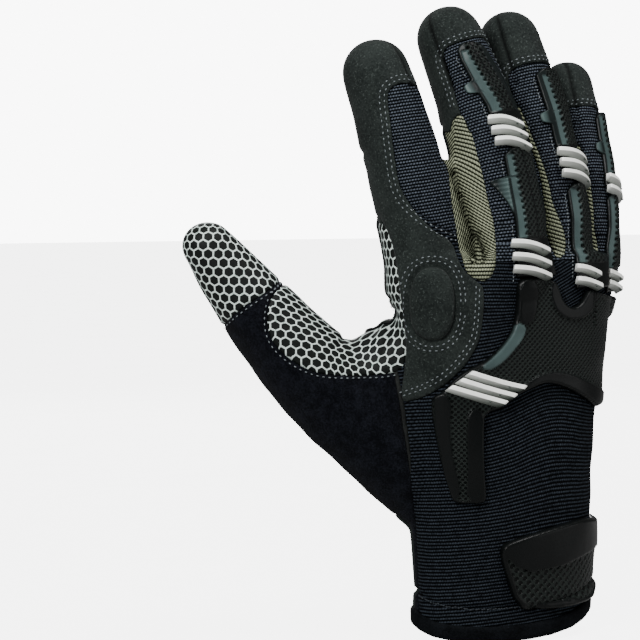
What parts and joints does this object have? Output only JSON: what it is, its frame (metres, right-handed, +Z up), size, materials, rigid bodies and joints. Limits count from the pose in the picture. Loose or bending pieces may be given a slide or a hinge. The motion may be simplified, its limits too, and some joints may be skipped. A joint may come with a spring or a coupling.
{
  "type": "impact glove",
  "caption": "Right-hand work glove with rib-knit back, grip-printed palm and thumb, moulded knuckle and finger guards with raised white bars, and a wrist strap.",
  "frame": {"origin": "middle of the wrist opening, in the plane of the hem", "axes": "+Z runs up the glove to the fingertips, -Y is the back of the hand, +Y the palm, -X the thumb side"},
  "size_m": [0.1829, 0.0827, 0.2495],
  "materials": {
    "suede": "matte suede with a short nap",
    "leather": "black synthetic leather, matte",
    "knit": "rib knit",
    "khaki": "herringbone rib knit",
    "terry": "brushed terry",
    "print": "leather printed with a pale grip mesh",
    "rubber": "moulded rubber, satin with dimples",
    "white": "white moulded rubber, satin",
    "webbing": "woven binding",
    "inset": "pale printed inset"
  },
  "bodies": {
    "root": {"fingertip_index": "suede", "index_knit": "knit", "fingertip_middle": "suede", "middle_knit": "knit", "fingertip_ring": "suede", "ring_knit": "knit", "fingertip_little": "suede", "little_knit": "knit", "side_strip_index_middle": "khaki", "side_strip_middle_ring": "khaki", "side_strip_ring_little": "khaki", "index_side_panel": "suede", "knuckle_pad": "suede", "palm_leather": "leather", "palm_patch": "print", "thumb_terry": "terry", "thumb_cap": "print", "thumb_saddle": "print", "thumb_front": "leather", "back_knit": "knit", "cuff_binding": "webbing", "strap": "rubber", "strap_tab": "rubber", "strap_inset": "inset", "pull_loop": "webbing", "guard_plate": "rubber", "guard_middle_upper": "rubber", "bar_middle_upper_1": "white", "bar_middle_upper_2": "white", "bar_middle_upper_3": "white", "guard_middle_lower": "rubber", "bar_middle_lower_1": "white", "bar_middle_lower_2": "white", "bar_middle_lower_3": "white", "guard_ring_upper": "rubber", "bar_ring_upper_1": "white", "bar_ring_upper_2": "white", "bar_ring_upper_3": "white", "guard_ring_lower": "rubber", "bar_ring_lower_1": "white", "bar_ring_lower_2": "white", "guard_little_upper": "rubber", "bar_little_upper_1": "white", "bar_little_upper_2": "white", "guard_little_lower": "rubber", "bar_little_lower_1": "white", "bar_little_lower_2": "white", "bar_plate_1": "white", "bar_plate_2": "white", "bar_plate_3": "white"}
  },
  "joints": []
}
